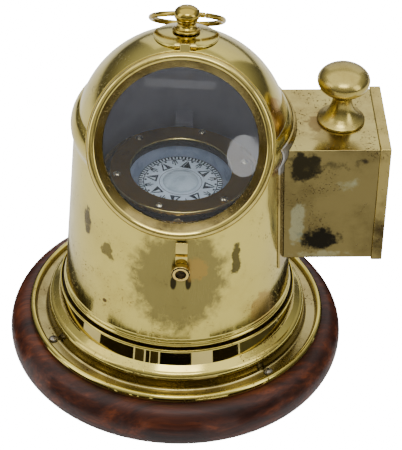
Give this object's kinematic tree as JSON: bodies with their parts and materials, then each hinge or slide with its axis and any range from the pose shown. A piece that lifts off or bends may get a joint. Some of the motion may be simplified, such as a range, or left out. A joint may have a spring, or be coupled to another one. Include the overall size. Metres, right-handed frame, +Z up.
{
  "type": "binnacle compass",
  "caption": "Gimballed liquid compass in a brass drum with a domed hood, tilting window, side oil lamp box, carrying ring and turned wooden base.",
  "frame": {"origin": "centre of the wooden base's flat underside, on the drum's axis", "axes": "+Z up along the drum's axis; the window faces -Y; the lamp box points towards +X, turned five degrees towards +Y"},
  "size_m": [0.253, 0.23, 0.2708],
  "materials": {
    "polished_brass": "polished, lightly tarnished",
    "dark_brass": "dull old brass",
    "grey_paint": "grey paint, as inside the hood",
    "rosewood": "dark streaked wood, satin varnish",
    "clear_glass": "clear, polished",
    "printed_card": null,
    "black_rubber": "matte",
    "plated_screw": "plated",
    "magnet_steel": "ground",
    "lead": "cast",
    "cotton_wick": "woven cotton"
  },
  "bodies": {
    "binnacle": {"wood_base": "rosewood", "base_flange": "polished_brass", "flange_screw_1": "plated_screw", "flange_screw_2": "plated_screw", "flange_screw_3": "plated_screw", "drum": "polished_brass", "dome": "polished_brass", "window_seat": "polished_brass", "window_hinge_leaf": "polished_brass", "window_hinge_pin": "polished_brass", "latch_nut": "dark_brass", "finial_disc": "polished_brass", "finial": "polished_brass", "finial_nut": "dark_brass", "lamp_saddle": "polished_brass", "lamp_box": "polished_brass", "lamp_knob": "polished_brass", "lamp_knob_nut": "dark_brass", "lamp_port_collar": "dark_brass", "lamp_pane": "clear_glass", "lamp_pane_keeper": "dark_brass", "gimbal_bracket_front": "grey_paint", "gimbal_bracket_rear": "grey_paint", "gimbal_pin_front": "dark_brass", "gimbal_pin_rear": "dark_brass"},
    "window": {"window_frame": "polished_brass", "window_glass": "clear_glass", "window_gasket": "black_rubber"},
    "latch": {"latch_strip": "polished_brass"},
    "latch_head": {"latch_screw": "dark_brass"},
    "ring": {"carry_ring": "polished_brass"},
    "lamp": {"lamp_cap": "polished_brass", "lamp_tray": "polished_brass", "oil_tank": "polished_brass", "burner": "dark_brass"},
    "filler": {"filler_cap": "dark_brass"},
    "wick_body": {"wick": "cotton_wick"},
    "wick_wheel": {"wick_knob": "dark_brass"},
    "gimbal": {"gimbal_ring": "dark_brass", "bowl_pin_left": "dark_brass", "bowl_pin_right": "dark_brass"},
    "bowl_body": {"bowl": "dark_brass", "bowl_gasket": "black_rubber", "bowl_glass": "clear_glass", "bowl_bezel": "dark_brass", "bowl_screw_1": "dark_brass", "bowl_screw_2": "dark_brass", "bowl_screw_3": "dark_brass", "bowl_screw_4": "dark_brass", "bowl_screw_5": "dark_brass", "bowl_screw_6": "dark_brass", "bowl_weight": "lead", "pivot_post": "dark_brass"},
    "card_body": {"card": "printed_card", "float_dome": "printed_card", "magnet_left": "magnet_steel", "magnet_right": "magnet_steel"}
  },
  "joints": [
    {"name": "window_open", "type": "hinge", "parent": "binnacle", "child": "window", "pos_m": [0, -0.00986, 0.25792], "axis": [-1, 0, 0], "range_deg": [0, 100]},
    {"name": "latch_turn", "type": "hinge", "parent": "binnacle", "child": "latch", "pos_m": [0.0035, -0.076, 0.126], "axis": [0, -1, 0], "range_deg": [-90, 90]},
    {"name": "latch_screw_turn", "type": "hinge", "parent": "binnacle", "child": "latch_head", "pos_m": [0.0035, -0.078, 0.126], "axis": [0, -1, 0], "continuous": true},
    {"name": "ring_swing", "type": "hinge", "parent": "binnacle", "child": "ring", "pos_m": [0, 0.01716, 0.26483], "axis": [1, 0, 0], "range_deg": [0, 190]},
    {"name": "lamp_draw", "type": "slide", "parent": "binnacle", "child": "lamp", "axis": [0.9962, 0.0872, 0], "range_m": [0, 0.085]},
    {"name": "filler_lift", "type": "slide", "parent": "lamp", "child": "filler", "axis": [0, 0, 1], "range_m": [0, 0.015]},
    {"name": "wick_turn", "type": "hinge", "parent": "lamp", "child": "wick_wheel", "pos_m": [0.1046, 0.01015, 0.1347], "axis": [0.9962, 0.0872, 0], "range_deg": [-45, 180]},
    {"name": "wick_rise", "type": "slide", "parent": "lamp", "child": "wick_body", "axis": [0, 0, 1], "range_m": [-0.0024, 0.0095]},
    {"name": "gimbal_rock", "type": "hinge", "parent": "binnacle", "child": "gimbal", "pos_m": [0, 0, 0.144], "axis": [0, 1, 0], "range_deg": [-20, 20]},
    {"name": "bowl_rock", "type": "hinge", "parent": "gimbal", "child": "bowl_body", "pos_m": [0, 0, 0.144], "axis": [1, 0, 0], "range_deg": [-20, 20]},
    {"name": "card_turn", "type": "hinge", "parent": "bowl_body", "child": "card_body", "pos_m": [0, 0, 0.14], "axis": [0, 0, 1], "continuous": true}
  ],
  "couplings": [
    {"joint": "wick_rise", "follows": "wick_turn", "m_per_rad": 0.003}
  ]
}
